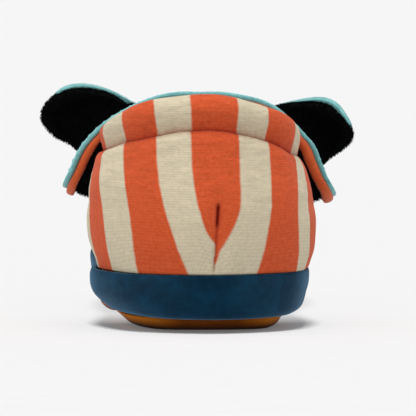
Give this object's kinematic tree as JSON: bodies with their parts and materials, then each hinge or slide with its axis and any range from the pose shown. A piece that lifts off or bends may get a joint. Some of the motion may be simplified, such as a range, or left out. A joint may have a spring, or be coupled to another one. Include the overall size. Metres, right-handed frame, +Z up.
{
  "type": "child's slipper",
  "caption": "Low striped cloth house slipper for a child's left foot, with padded collar, felt saddle over the instep with plush-backed ears, sole wall and rubber outsole.",
  "frame": {"origin": "middle of the slipper's box, on the floor under the sole", "axes": "+Y from heel to toe, +X to the inner side of the left foot, +Z up"},
  "size_m": [0.0948, 0.1776, 0.0708],
  "materials": {
    "striped_cloth": "soft brushed knit with orange and cream stripes",
    "navy_wall": "matt, fine grained",
    "honey_rubber": "satin",
    "teal_felt": "felt",
    "orange_felt": "felt",
    "black_plush": "short pile",
    "insole_cloth": "felt"
  },
  "bodies": {
    "root": {"outsole": "honey_rubber", "sole_wall": "navy_wall", "insole": "insole_cloth", "upper": "striped_cloth", "collar": "striped_cloth", "saddle_felt": "teal_felt", "saddle_lining": "orange_felt", "tab_plush_outer": "black_plush", "tab_plush_inner": "black_plush", "ear_felt_outer": "teal_felt", "ear_felt_inner": "teal_felt", "ear_plush_outer": "black_plush", "ear_plush_inner": "black_plush"}
  },
  "joints": []
}
